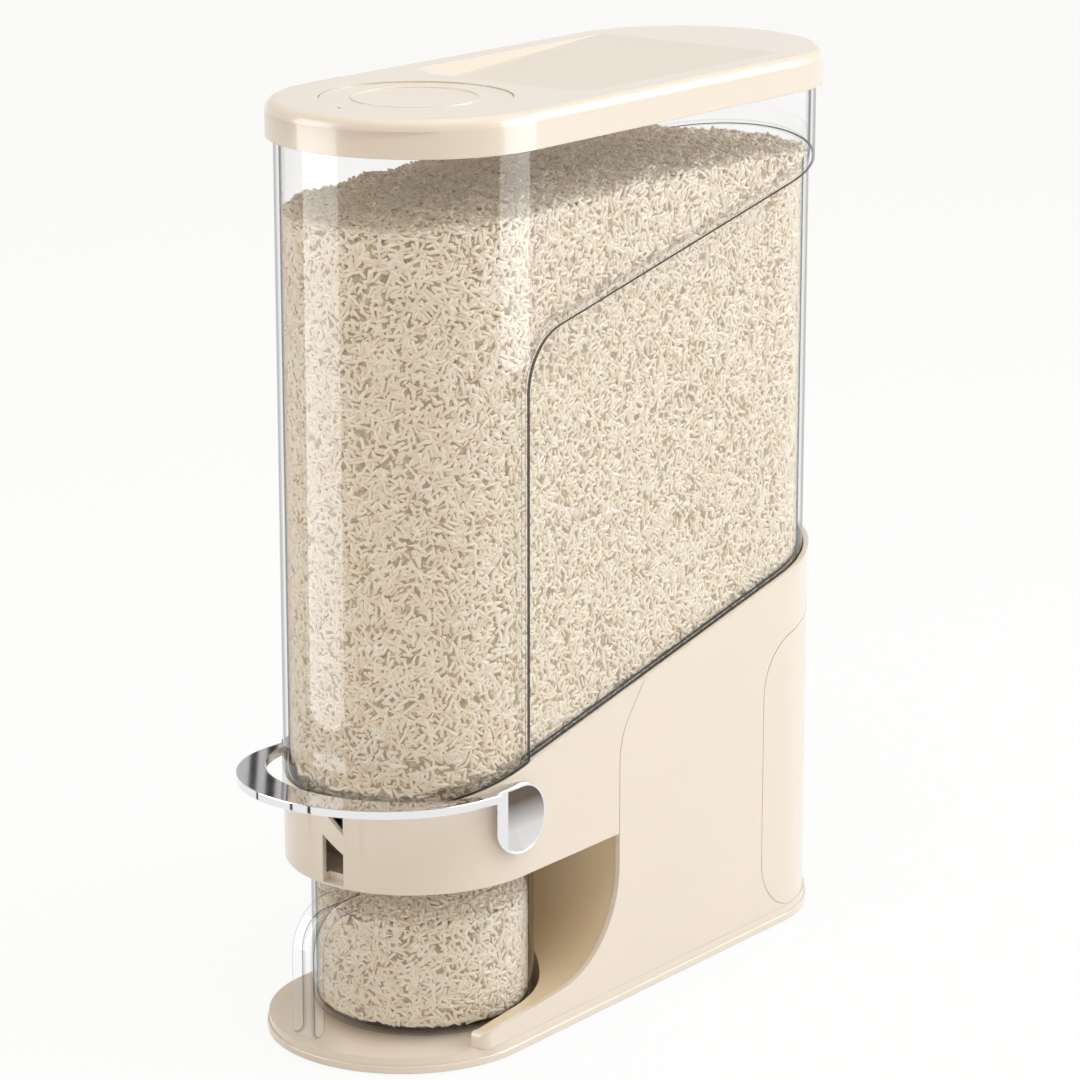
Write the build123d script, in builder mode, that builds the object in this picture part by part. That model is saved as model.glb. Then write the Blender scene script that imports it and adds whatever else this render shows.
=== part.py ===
from build123d import *
import math
import os

os.makedirs("parts", exist_ok=True)

# Rice dispenser: a clear hopper stands in a slanted plastic stand. A chrome ring in front
# turns on two pins, and the gate that hangs from them opens over a clear measuring cup.
# Millimetres, +Z up, the cup's side is -Y. In plan everything is set out from the front
# axis, the centre of the hopper's front round: "y" below is the distance behind that axis.

# Hopper plan and overall height
total_height = 450.0
hopper_radius = 66.0
axis_gap = 210.0
slope_deg = 12.0
front_slope_deg = 15.8

# Clearances and small fits
body_gap = 0.4
rest_gap = 0.3
seam_gap = 0.4
pin_play = 0.05

# Base plate, feet and screws
foot_height = 1.0
foot_sunk = 2.0
foot_radius = 7.0
foot_inset = 35.0
foot_spread = 42.0
plate_overhang = 1.2
plate_front = -13.0
plate_rear_reach = 1.4
flange_height = 3.5
flange_round = 0.8
land_height = 3.8
land_step = 1.0
plate_skin = 2.8
screw_radius = 1.75
screw_length = 13.0
screw_head_radius = 3.4
screw_head_height = 2.2
screw_head_sunk = 0.5
screw_tip = 2.0
driver_length = 4.1
driver_width = 0.9
driver_depth = 1.1
boss_wall = 3.25
boss_merge = 1.3
boss_height = 16.0
column_screw_front = 92.0
column_screw_rear = 170.0
cover_screw_deg = 40.0

# Stand shells
shell_wall = 2.6
edge_height = 142.3
edge_front_height = 127.3
seam_y = 70.5
seam_bend = 136.0
seam_lean_deg = 38.0
seam_round = 35.0
arm_front = -34.0
left_arm_front = 2.0
arm_height = 15.9
arm_rise_deg = 4.7
arm_width = 8.0
arm_round = 5.0
scoop_round = 50.0
pocket_radius = 56.5
liner_wall = 2.4
liner_step = 0.8
panel_drop = 33.0
panel_ahead = 17.8
panel_round = 30.0

# Dispensing head
head_bottom = 87.5
head_droop_deg = 2.2
head_floor = 2.5
head_rear_wall = 2.4
head_rear_height = 30.0
head_screw_spread = 40.0
slot_width = 12.5
slot_lip = 1.1
slot_top = 123.5
brace_low = 101.8
brace_high = 111.4
brace_low_deg = 32.0
brace_high_deg = 40.0
brace_flat = 3.9
drop_half_width = 30.0
drop_front = -27.0
drop_rear = 2.0

# Tank
recess_depth = 3.0
tank_wall = 2.6
recess_drop = 107.6
recess_round = 30.0
outlet_height = 101.0
floor_at_axis = 98.1
floor_deg = 19.0
side_taper_deg = 45.0
front_taper_height = 126.0
front_taper_deg = 40.0
line_gap = 0.5
rice_gap = 0.4
rice_front_drop = 56.0
rice_crown_drop = 48.0
rice_rear_drop = 55.0
mound_height = 1.2
mound_step = 23.0
mound_radius = 50.0
mound_edge_deg = 76.0

# Cradle under the tank
cradle_wall = 3.0
rail_width = 5.0
rail_height = 4.0
rail_inset = 12.0

# Pivot, gate and chute
pivot_y = -8.9
pivot_z = 117.5
pin_radius = 3.0
bush_wall = 1.15
bush_flange = 1.4
bush_flange_length = 0.6
boss_skin = 2.0
arm_inner_x = 53.8
arm_thickness = 2.5
hub_radius = 6.0
yoke_clearance = 1.3
lip_radius = 24.5
gate_thickness = 2.0
gate_front_deg = -34.0
gate_rear_deg = 11.0
mouth_front_deg = -31.0
mouth_rear_deg = 8.0
mouth_half_width = 25.0
chute_wall = 2.4
chute_deck = 2.0
mouth_flare = 2.5
mouth_flare_height = 3.0
chute_front = -40.0
chute_rear = 12.0
chute_half_width = 34.0
gasket_height = 1.2
gasket_width = 3.0
spring_wire = 1.0
spring_pitch = 1.1
spring_turns = 2.0

# Press ring and its ears
ring_reach = 101.2
ring_half_width = 65.5
ring_half_length = 69.6
ring_inner_radius = 61.3
ring_inner_shift = 11.6
ring_top = 131.4
ring_tilt_deg = 3.6
ring_thickness = 4.0
ring_play = 0.5
ear_radius = 17.3
ear_thickness = 2.4
ear_rim = 1.4
ear_crown_shift = 2.9
ear_plate_thickness = 1.4
ear_dish = 0.8
neck_length = 29.0
neck_round = 5.0

# Lid and its cap
lid_overhang = 3.6
lid_skirt = 17.7
lid_deck = 3.5
lid_round = 5.0
lid_play = 0.5
plug_wall = 2.0
plug_inset = 1.9
plug_depth = 10.5
lid_gasket_height = 3.0
lid_gasket_low = 2.0
lip_drop = 5.5
lip_depth = 1.8
lip_half_width = 52.0
sunk_half_width = 54.0
sunk_front = 56.0
sunk_rear = 232.0
sunk_depth = 6.2
sunk_wall_deg = 30.0
sunk_round = 18.0
sunk_skin = 2.4
cap_radius = 45.0
cap_seat = 2.7
cap_low = 0.6
cap_bore = 40.2
cap_collar_wall = 6.0
cap_collar_height = 5.0
cap_skirt_wall = 2.2
cap_skirt_depth = 8.0
cap_play = 0.3
bead_radius = 28.5
bead_width = 2.0
notch_radius = 10.0
notch_y = -40.0
notch_shelf = 0.8
tab_radius = 8.6
seal_inner = 41.0
seal_width = 2.5
seal_height = 0.7
tray_depth = 14.0
tray_wall = 1.4
tray_play = 0.05
tray_overlap = 3.0
tray_slots = 8
tray_slot_width = 3.0
tray_slot_length = 16.0
tray_slot_radius = 18.0
pack_height = 8.0
pack_play = 2.0
pack_round = 3.0

# Measuring cup
cup_radius = 53.7
cup_wall = 2.0
cup_floor = 3.0
cup_rim = 84.0
cup_round = 6.0
handle_width = 14.0
handle_bar = 10.0
handle_front = -89.5
handle_top = 80.5
handle_end = 15.5
handle_bend = 24.0
handle_edge = 3.0
handle_tip_round = 4.5
cup_rice_side = 64.0
cup_rice_top = 78.0

# Worked out from the sizes above
lid_radius = hopper_radius + lid_overhang
y_front = (ring_reach - axis_gap - lid_radius) / 2
front_axis = Axis((0, y_front, 0), (0, 0, 1))
slope_rise = math.tan(math.radians(slope_deg))
front_slope_rise = math.tan(math.radians(front_slope_deg))
floor_rise = math.tan(math.radians(floor_deg))
stand_bore = hopper_radius - shell_wall
lower_radius = hopper_radius - recess_depth
recess_height = total_height - recess_drop
side_taper_rise = math.tan(math.radians(side_taper_deg))
side_taper_height = pivot_z + hub_radius + (lower_radius - arm_inner_x + yoke_clearance) * side_taper_rise
boss_radius = screw_radius + boss_wall
screw_seat = foot_height + screw_head_height + screw_head_sunk
plate_top = foot_height + flange_height + land_height
plate_rear = axis_gap + plate_rear_reach
plate_radius = hopper_radius + plate_overhang
land_radius = plate_radius - land_step
pocket_front_half = hopper_radius - arm_width
lid_bottom = total_height - lid_skirt
deck_inside = total_height - lid_deck
arm_outer_x = arm_inner_x + arm_thickness
bush_radius = pin_radius + pin_play + bush_wall
boss_inner_x = arm_outer_x + rest_gap + bush_flange_length
pivot_wall_x = math.sqrt(hopper_radius ** 2 - pivot_y ** 2)
gate_inner = lip_radius + body_gap
gate_outer = gate_inner + gate_thickness
ear_inner_x = hopper_radius + body_gap
ear_outer_x = ear_inner_x + ear_thickness
ring_centre = ring_half_length - ring_reach
far = 2 * (axis_gap + hopper_radius)

side_view = Plane(origin=(0, y_front, 0), x_dir=(0, 1, 0), z_dir=(1, 0, 0))
front_view = Plane(origin=(0, y_front, 0), x_dir=(1, 0, 0), z_dir=(0, -1, 0))


def at_level(z):
    """Horizontal plane at height z, its local origin on the front axis."""
    return Plane(origin=(0, y_front, z))


def at_side(x):
    """Upright lengthwise plane at x, local axes running to the rear and up."""
    return side_view.offset(x)


def slot_plan(radius, front=0.0, rear=axis_gap):
    """Plan with two straight sides and round ends about the front and rear axes."""
    with BuildSketch() as plan:
        with Locations((0, (front + rear) / 2)):
            SlotCenterToCenter(rear - front, 2 * radius, rotation=90)
    return plan.sketch


def area(low_u, high_u, low_v, high_v):
    """Rectangle from its four limits."""
    with BuildSketch() as rectangle:
        with Locations(((low_u + high_u) / 2, (low_v + high_v) / 2)):
            Rectangle(high_u - low_u, high_v - low_v)
    return rectangle.sketch


def outline(points, rounds=()):
    """Closed outline through points, with a radius at each listed corner."""
    with BuildSketch() as shape:
        with BuildLine():
            Polyline(*points, close=True)
        make_face()
        for corner, radius in rounds:
            fillet(shape.vertices().sort_by_distance((corner[0], corner[1], 0))[0], radius)
    return shape.sketch


def ring_sketch(outer, inner):
    """Flat ring about the front axis."""
    with BuildSketch() as flat:
        Circle(outer)
        Circle(inner, mode=Mode.SUBTRACT)
    return flat.sketch


def stand_edge(y):
    """Height of the stand's top edge: steeper ahead of the front axis, then level in front."""
    return max(edge_front_height, edge_height + y * (slope_rise if y > 0 else front_slope_rise))


def tank_floor(y):
    """Height of the tank's outer floor, which falls towards the outlet."""
    return floor_at_axis + y * floor_rise


def ring_level(y):
    """Height of the press ring's top face, which rises a little towards the front."""
    return ring_top + (pivot_y - y) * math.tan(math.radians(ring_tilt_deg))


# Corner of the cup bay's side profile, before it is rounded
arm_rise = math.tan(math.radians(arm_rise_deg))
scoop_corner = arm_height + (seam_y - arm_front) * arm_rise
seam_far = seam_y + (far - seam_bend) * math.tan(math.radians(seam_lean_deg))


def below_edge():
    """Side area under the stand's slanted edge."""
    level_ends = (edge_front_height - edge_height) / front_slope_rise
    return outline([(-far, -far), (far, -far), (far, stand_edge(far)), (0, edge_height),
                    (level_ends, edge_front_height), (-far, edge_front_height)])


def column_plan(inset):
    """Plan of the column and its two arms, the left one the shorter, drawn in by inset."""
    half = hopper_radius - inset
    front = arm_front + inset
    left_front = left_arm_front + inset
    with BuildSketch() as plan:
        add(outline([(-half, left_front), (0, left_front), (0, front), (half, front),
                     (half, axis_gap), (-half, axis_gap)],
                    [((-half, left_front), arm_round - inset), ((half, front), arm_round - inset)]))
        with Locations((0, axis_gap)):
            Circle(half)
    return plan.sketch


def column_side(gap):
    """Side area behind the cup bay and behind the seam to the dispensing head."""
    bay = (seam_y + gap, scoop_corner + gap * arm_rise)
    bend = (seam_y + gap, seam_bend)
    nose = (arm_front, arm_height)
    return outline([(arm_front, plate_top), nose, bay, bend, (seam_far + gap, far),
                    (far + seam_far, far), (far + seam_far, plate_top)],
                   [(bay, scoop_round), (bend, seam_round), (nose, arm_round / 2)])


def panel_side(gap):
    """Side area of the rear panel, shrunk by gap."""
    front = axis_gap - panel_ahead + gap
    low = (front, plate_top)
    high = (front, stand_edge(front) - panel_drop - gap)
    rear = axis_gap + 2 * hopper_radius
    return outline([low, high, (rear, stand_edge(rear) - panel_drop - gap), (rear, plate_top)],
                   [(low, panel_round), (high, panel_round)])


def cup_pocket(grow, low, height):
    """Room for the cup: a round well that opens to the front, a little wider there."""
    front_half = pocket_front_half + grow
    back_half = pocket_radius + grow
    with BuildPart() as pocket:
        with BuildSketch(at_level(low)):
            Circle(back_half)
            add(outline([(-back_half, 0), (-front_half, arm_front - hopper_radius),
                         (front_half, arm_front - hopper_radius), (back_half, 0)]))
        extrude(amount=height)
    return pocket.part


# Where the screws stand, in plan
column_screws = [(side * (stand_bore - boss_radius + boss_merge), y)
                 for side in (-1, 1) for y in (column_screw_front, column_screw_rear)]
cover_turn = math.radians(cover_screw_deg)
cover_reach = stand_bore - boss_radius + boss_merge
cover_spots = [(side * cover_reach * math.sin(cover_turn),
                axis_gap + cover_reach * math.cos(cover_turn)) for side in (-1, 1)]
head_screw_spots = [(x, head_bottom + head_rear_height / 2)
                    for x in (-head_screw_spread, 0, head_screw_spread)]
foot_spots = [(side * foot_spread, y) for side in (-1, 1)
              for y in (plate_front - plate_radius + foot_inset, plate_rear + plate_radius - foot_inset)]


# Base plate: a flanged tray with a hollow underside, foot pads and screw pads
with BuildPart() as base_plate:
    with BuildSketch(at_level(foot_height)):
        add(slot_plan(plate_radius, plate_front, plate_rear))
    extrude(amount=flange_height)
    fillet(base_plate.faces().sort_by(Axis.Z)[-1].edges(), flange_round)
    with BuildSketch(at_level(foot_height)):
        add(slot_plan(land_radius, plate_front, plate_rear))
    extrude(amount=flange_height + land_height)
    with BuildSketch(at_level(foot_height)):
        add(slot_plan(land_radius - plate_skin, plate_front, plate_rear))
        with Locations(*foot_spots):
            Circle(foot_radius + plate_skin, mode=Mode.SUBTRACT)
        with Locations(*column_screws, *cover_spots):
            Circle(screw_head_radius + plate_skin, mode=Mode.SUBTRACT)
    extrude(amount=plate_top - foot_height - plate_skin, mode=Mode.SUBTRACT)
    with BuildSketch(at_level(foot_height)):
        with Locations(*foot_spots):
            Circle(foot_radius)
    extrude(amount=foot_sunk, mode=Mode.SUBTRACT)
    with BuildSketch(at_level(foot_height)):
        with Locations(*column_screws, *cover_spots):
            Circle(screw_head_radius)
    extrude(amount=screw_seat - foot_height, mode=Mode.SUBTRACT)
    with BuildSketch(at_level(foot_height)):
        with Locations(*column_screws, *cover_spots):
            Circle(screw_radius)
    extrude(amount=plate_top, mode=Mode.SUBTRACT)
base_plate.part.label = "base_plate"
export_step(base_plate.part, "parts/base_plate.step")

with BuildPart() as rubber_feet:
    with BuildSketch(at_level(0)):
        with Locations(*foot_spots):
            Circle(foot_radius)
    extrude(amount=foot_height + foot_sunk)
rubber_feet.part.label = "rubber_feet"
export_step(rubber_feet.part, "parts/rubber_feet.step")


def upright_screws(spots):
    """Screws driven upwards through the plate, heads sunk in it."""
    with BuildPart() as screws:
        with BuildSketch(at_level(screw_seat - screw_head_height)):
            with Locations(*spots):
                Circle(screw_head_radius)
        extrude(amount=screw_head_height)
        with BuildSketch(at_level(screw_seat)):
            with Locations(*spots):
                Circle(screw_radius)
        extrude(amount=screw_length)
        with BuildSketch(at_level(screw_seat - screw_head_height)):
            with Locations(*spots):
                Rectangle(driver_length, driver_width)
                Rectangle(driver_width, driver_length)
        extrude(amount=driver_depth, mode=Mode.SUBTRACT)
    return screws


base_screws = upright_screws(column_screws)
base_screws.part.label = "base_screws"
export_step(base_screws.part, "parts/base_screws.step")

cover_screws = upright_screws(cover_spots)
cover_screws.part.label = "cover_screws"
export_step(cover_screws.part, "parts/cover_screws.step")


# Stand column: the tall shell behind the cup bay, with the two low arms beside the cup
with BuildPart() as stand_column:
    with BuildSketch(at_level(plate_top)):
        add(column_plan(0))
    extrude(amount=far)
    with BuildSketch(at_level(plate_top)):
        add(column_plan(shell_wall))
    extrude(amount=far, mode=Mode.SUBTRACT)
    with BuildSketch(side_view):
        add(column_side(seam_gap / 2))
        add(below_edge(), mode=Mode.INTERSECT)
    extrude(amount=far, both=True, mode=Mode.INTERSECT)
    with BuildSketch(side_view):
        add(panel_side(0))
    extrude(amount=far, both=True, mode=Mode.SUBTRACT)
    add(cup_pocket(0, plate_top, head_bottom), mode=Mode.SUBTRACT)
    for side in (-1, 1):
        rail_front = seam_y + liner_wall + rail_inset
        rail_rear = axis_gap - panel_ahead - rail_height
        rail_drop = rest_gap + cradle_wall / math.cos(math.radians(floor_deg))
        with BuildSketch(at_side(side * (stand_bore - rail_width))):
            add(outline([(rail_front, tank_floor(rail_front) - rail_drop - rail_height),
                         (rail_rear, tank_floor(rail_rear) - rail_drop - rail_height),
                         (rail_rear, tank_floor(rail_rear) - rail_drop),
                         (rail_front, tank_floor(rail_front) - rail_drop)]))
        extrude(amount=side * (rail_width + shell_wall / 2))
    with BuildSketch(at_level(plate_top)):
        with Locations(*column_screws):
            Circle(boss_radius)
    extrude(amount=boss_height)
    with BuildSketch(at_level(plate_top)):
        with Locations(*column_screws):
            Circle(screw_radius)
    extrude(amount=screw_length, mode=Mode.SUBTRACT)
stand_column.part.label = "stand_column"
export_step(stand_column.part, "parts/stand_column.step")


# Rear cover: the panel that wraps the column's back, screwed to the plate from below
with BuildPart() as rear_cover:
    with BuildSketch(at_level(plate_top)):
        add(slot_plan(hopper_radius))
        add(slot_plan(stand_bore), mode=Mode.SUBTRACT)
    extrude(amount=far)
    with BuildSketch(side_view):
        add(panel_side(seam_gap))
    extrude(amount=far, both=True, mode=Mode.INTERSECT)
    with BuildSketch(at_level(plate_top)):
        with Locations(*cover_spots):
            Circle(boss_radius)
    extrude(amount=boss_height)
    with BuildSketch(at_level(plate_top)):
        with Locations(*cover_spots):
            Circle(screw_radius)
    extrude(amount=screw_length, mode=Mode.SUBTRACT)
rear_cover.part.label = "rear_cover"
export_step(rear_cover.part, "parts/rear_cover.step")


def liner_side():
    """Side area of the liner, under the curved surface that the cup stands before."""
    bay = (seam_y + liner_step, scoop_corner - liner_step)
    rear = seam_y + liner_step + liner_wall
    top = head_bottom + head_rear_height
    return outline([(arm_front, plate_top), (arm_front, arm_height - liner_step), bay,
                    (bay[0], top), (rear, top), (rear, plate_top)], [(bay, scoop_round)])


def liner_hollow():
    """Side area of the room behind and under the liner's skin."""
    bay = (seam_y + liner_step + liner_wall, scoop_corner - liner_step - liner_wall)
    nose_z = arm_height - liner_step - liner_wall
    return outline([(arm_front, 0), (arm_front, nose_z), bay, (bay[0], far), (far, far), (far, 0)],
                   [(bay, scoop_round + liner_wall)])


def liner_core():
    """The room under the liner's skin, outside the wall of the cup's well."""
    with BuildPart() as core:
        with BuildSketch(side_view):
            add(liner_hollow())
        extrude(amount=far, both=True)
        add(cup_pocket(liner_wall, 0, far), mode=Mode.SUBTRACT)
    return core.part


# Cup bay liner: the curved scoop behind the cup, with the round well that it stands in
with BuildPart() as cup_bay_liner:
    with BuildSketch(side_view):
        add(liner_side())
    extrude(amount=stand_bore, both=True)
    with BuildSketch(at_level(plate_top)):
        add(column_plan(shell_wall))
    extrude(amount=far, mode=Mode.INTERSECT)
    add(cup_pocket(0, 0, far), mode=Mode.SUBTRACT)
    add(liner_core(), mode=Mode.SUBTRACT)
    with BuildSketch(front_view.offset(-seam_y - liner_step - liner_wall)):
        with Locations(*head_screw_spots):
            Circle(screw_radius)
    extrude(amount=2 * liner_wall, mode=Mode.SUBTRACT)
cup_bay_liner.part.label = "cup_bay_liner"
export_step(cup_bay_liner.part, "parts/cup_bay_liner.step")


# Hopper cradle: the sloping shelf that carries the tank's floor
with BuildPart() as hopper_cradle:
    with BuildSketch(at_level(plate_top)):
        add(slot_plan(stand_bore))
    extrude(amount=far)
    cradle_front = seam_y + liner_step + liner_wall + seam_gap
    cradle_drop = cradle_wall / math.cos(math.radians(floor_deg))
    with BuildSketch(side_view):
        add(outline([(cradle_front, tank_floor(cradle_front) - rest_gap - cradle_drop),
                     (far, tank_floor(far) - rest_gap - cradle_drop),
                     (far, tank_floor(far) - rest_gap),
                     (cradle_front, tank_floor(cradle_front) - rest_gap)]))
    extrude(amount=far, both=True, mode=Mode.INTERSECT)
hopper_cradle.part.label = "hopper_cradle"
export_step(hopper_cradle.part, "parts/hopper_cradle.step")


# Dispensing head: the collar over the cup, open above for the tank, with a slot in front
head_front_bottom = head_bottom - hopper_radius * math.tan(math.radians(head_droop_deg))
with BuildPart() as dispensing_head:
    with BuildSketch(at_level(head_front_bottom)):
        add(slot_plan(hopper_radius))
    extrude(amount=far)
    with BuildSketch(at_level(head_bottom + head_floor)):
        add(slot_plan(stand_bore))
    extrude(amount=far, mode=Mode.SUBTRACT)
    with BuildSketch(side_view):
        bend = (seam_y - seam_gap / 2, seam_bend)
        add(outline([(-hopper_radius, head_front_bottom), (0, head_bottom), (bend[0], head_bottom), bend,
                     (seam_far - seam_gap / 2, far), (-hopper_radius, far)], [(bend, seam_round)]))
        add(below_edge(), mode=Mode.INTERSECT)
    extrude(amount=far, both=True, mode=Mode.INTERSECT)
    with BuildSketch(side_view):
        add(area(seam_y - head_rear_wall - seam_gap / 2, seam_y - seam_gap / 2,
                 head_bottom, head_bottom + head_rear_height))
    extrude(amount=stand_bore + shell_wall / 2, both=True)
    with BuildSketch(side_view):
        add(area(seam_y - seam_gap / 2, seam_y + liner_step, head_bottom, head_bottom + head_rear_height))
    extrude(amount=stand_bore - body_gap, both=True)
    with BuildSketch(at_level(head_front_bottom)):
        add(area(-drop_half_width, drop_half_width, drop_front, drop_rear))
    extrude(amount=head_bottom + head_floor - head_front_bottom, mode=Mode.SUBTRACT)
    with BuildSketch(front_view.offset(stand_bore - shell_wall)):
        half = slot_width / 2
        slot_low = head_front_bottom + slot_lip
        low_rise = slot_width * math.tan(math.radians(brace_low_deg))
        add(outline([(-half, slot_low), (half, slot_low), (half, brace_low), (-half, brace_low + low_rise)]))
        upper_left = brace_flat - half
        upper_rise = (half - upper_left) * math.tan(math.radians(brace_high_deg))
        add(outline([(upper_left, brace_high + upper_rise), (half, brace_high),
                     (half, slot_top), (upper_left, slot_top)]))
    extrude(amount=hopper_radius, mode=Mode.SUBTRACT)
    for side in (-1, 1):
        with BuildSketch(at_side(side * boss_inner_x)):
            with Locations((pivot_y, pivot_z)):
                Circle(bush_radius + boss_skin)
        extrude(amount=side * (stand_bore - boss_inner_x))
        with BuildSketch(at_side(side * arm_inner_x)):
            with Locations((pivot_y, pivot_z)):
                Circle(bush_radius)
        extrude(amount=side * hopper_radius, mode=Mode.SUBTRACT)
    with BuildSketch(front_view.offset(-seam_y - liner_step)):
        with Locations(*head_screw_spots):
            Circle(screw_radius)
    extrude(amount=liner_step + head_rear_wall + screw_tip, mode=Mode.SUBTRACT)
dispensing_head.part.label = "dispensing_head"
export_step(dispensing_head.part, "parts/dispensing_head.step")

# Head screws: driven forwards through the liner into the head's rear wall
with BuildPart() as head_screws:
    liner_back = seam_y + liner_step + liner_wall
    with BuildSketch(front_view.offset(-liner_back)):
        with Locations(*head_screw_spots):
            Circle(screw_radius)
    extrude(amount=liner_wall + liner_step + head_rear_wall + screw_tip)
    with BuildSketch(front_view.offset(-liner_back)):
        with Locations(*head_screw_spots):
            Circle(screw_head_radius)
    extrude(amount=-screw_head_height)
head_screws.part.label = "head_screws"
export_step(head_screws.part, "parts/head_screws.step")


def wedge(radius, front_deg, rear_deg):
    """Pie slice about the pivot, its angles from straight down and positive to the rear."""
    reach = 2 * radius
    with BuildSketch() as slice_area:
        with Locations((pivot_y, pivot_z)):
            Circle(radius)
        add(outline([(pivot_y, pivot_z)] + [
            (pivot_y + reach * math.sin(math.radians(angle)),
             pivot_z - reach * math.cos(math.radians(angle)))
            for angle in (front_deg, rear_deg)]), mode=Mode.INTERSECT)
    return slice_area.sketch


def mouth_at(angle):
    """Lengthwise place of the chute's mouth edge at an angle of its lip."""
    return pivot_y + lip_radius * math.sin(math.radians(angle))


# Outlet chute: a bridge over the gate, its rear lip and sides cut to the gate's sweep
gasket_low = outlet_height - rest_gap - gasket_height
deck_low = gasket_low - chute_deck
floor_top = head_bottom + head_floor
mouth_front = mouth_at(mouth_front_deg)
mouth_rear = mouth_at(mouth_rear_deg)
outlet_front = (front_taper_height - outlet_height) / math.tan(math.radians(front_taper_deg)) - lower_radius
with BuildPart() as outlet_chute:
    with BuildSketch(at_level(deck_low)):
        add(area(-chute_half_width, chute_half_width, chute_front, chute_rear))
    extrude(amount=chute_deck)
    with BuildSketch(at_level(floor_top)):
        add(area(-chute_half_width, chute_half_width, chute_front, chute_front + chute_wall))
        add(area(-chute_half_width, chute_half_width, chute_rear - chute_wall, chute_rear))
    extrude(amount=deck_low - floor_top)
    with BuildSketch(side_view):
        with Locations((pivot_y, pivot_z)):
            Circle(lip_radius)
        add(area(mouth_front, far, 0, deck_low + chute_deck / 2), mode=Mode.INTERSECT)
    extrude(amount=mouth_half_width + chute_wall, both=True)
    with BuildSketch(side_view):
        add(outline([(outlet_front + 2 * tank_wall, gasket_low), (mouth_front, deck_low),
                     (mouth_front, 0), (mouth_rear, 0),
                     (mouth_rear, deck_low - mouth_flare_height), (mouth_rear + mouth_flare, gasket_low)]))
    extrude(amount=mouth_half_width, both=True, mode=Mode.SUBTRACT)
outlet_chute.part.label = "outlet_chute"
export_step(outlet_chute.part, "parts/outlet_chute.step")

# Chute gasket: the soft frame that meets the tank's mouth
with BuildPart() as chute_gasket:
    with BuildSketch(at_level(gasket_low)):
        add(area(-mouth_half_width - gasket_width, mouth_half_width + gasket_width,
                 chute_front + gasket_width, chute_rear - gasket_width))
        add(area(-mouth_half_width, mouth_half_width,
                 outlet_front + 2 * tank_wall, mouth_rear + mouth_flare), mode=Mode.SUBTRACT)
    extrude(amount=gasket_height)
chute_gasket.part.label = "chute_gasket"
export_step(chute_gasket.part, "parts/chute_gasket.step")

# Pivot bushes: flanged sleeves in the head's two bosses
with BuildPart() as pivot_bushes:
    for side in (-1, 1):
        with BuildSketch(at_side(side * boss_inner_x)):
            with Locations((pivot_y, pivot_z)):
                Circle(bush_radius)
        extrude(amount=side * (pivot_wall_x - boss_inner_x - seam_gap))
        with BuildSketch(at_side(side * boss_inner_x)):
            with Locations((pivot_y, pivot_z)):
                Circle(bush_radius + bush_flange)
        extrude(amount=-side * bush_flange_length)
        with BuildSketch(at_side(side * arm_inner_x)):
            with Locations((pivot_y, pivot_z)):
                Circle(pin_radius + pin_play)
        extrude(amount=side * hopper_radius, mode=Mode.SUBTRACT)
pivot_bushes.part.label = "pivot_bushes"
export_step(pivot_bushes.part, "parts/pivot_bushes.step")

# Return springs: one torsion coil around each boss
with BuildPart() as return_springs:
    for side in (-1, 1):
        coil_x = side * (boss_inner_x + spring_wire)
        with BuildLine() as coil:
            Helix(spring_pitch, spring_pitch * spring_turns, bush_radius + boss_skin + spring_wire,
                  center=(coil_x, y_front + pivot_y, pivot_z), direction=(side, 0, 0))
        with BuildSketch(Plane(origin=coil.line @ 0, z_dir=coil.line % 0)):
            Circle(spring_wire / 2)
        sweep(path=coil.line, is_frenet=True)
return_springs.part.label = "return_springs"
export_step(return_springs.part, "parts/return_springs.step")


# Gate yoke: the curved gate under the mouth, hung from the pins by an arm on each side
with BuildPart() as gate_yoke:
    with BuildSketch(side_view):
        add(wedge(gate_outer, gate_front_deg, gate_rear_deg))
        with Locations((pivot_y, pivot_z)):
            Circle(gate_inner, mode=Mode.SUBTRACT)
    extrude(amount=arm_outer_x, both=True)
    for side in (-1, 1):
        with BuildSketch(at_side(side * arm_inner_x)):
            add(wedge(gate_outer, gate_front_deg, gate_rear_deg))
            with Locations((pivot_y, pivot_z)):
                Circle(hub_radius)
        extrude(amount=side * arm_thickness)
    with BuildSketch(side_view):
        with Locations((pivot_y, pivot_z)):
            Circle(pin_radius)
    extrude(amount=far, both=True, mode=Mode.SUBTRACT)
gate_yoke.part.label = "gate_yoke"
export_step(gate_yoke.part, "parts/gate_yoke.step")

# Pivot pins: from the ears through the bushes into the yoke's arms
with BuildPart() as pivot_pins:
    for side in (-1, 1):
        with BuildSketch(at_side(side * arm_inner_x)):
            with Locations((pivot_y, pivot_z)):
                Circle(pin_radius)
        extrude(amount=side * (ear_outer_x - ear_plate_thickness - arm_inner_x))
pivot_pins.part.label = "pivot_pins"
export_step(pivot_pins.part, "parts/pivot_pins.step")


def lever_plan():
    """Plan of the press ring's outer edge: round in front, widening back to the ears."""
    with BuildSketch() as plan:
        with Locations((0, ring_centre)):
            Ellipse(ring_half_width, ring_half_length)
        add(outline([(-ring_half_width, ring_centre), (ring_half_width, ring_centre), (ear_outer_x, pivot_y),
                     (ear_outer_x, far), (-ear_outer_x, far), (-ear_outer_x, pivot_y)]))
    return plan.sketch


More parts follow.
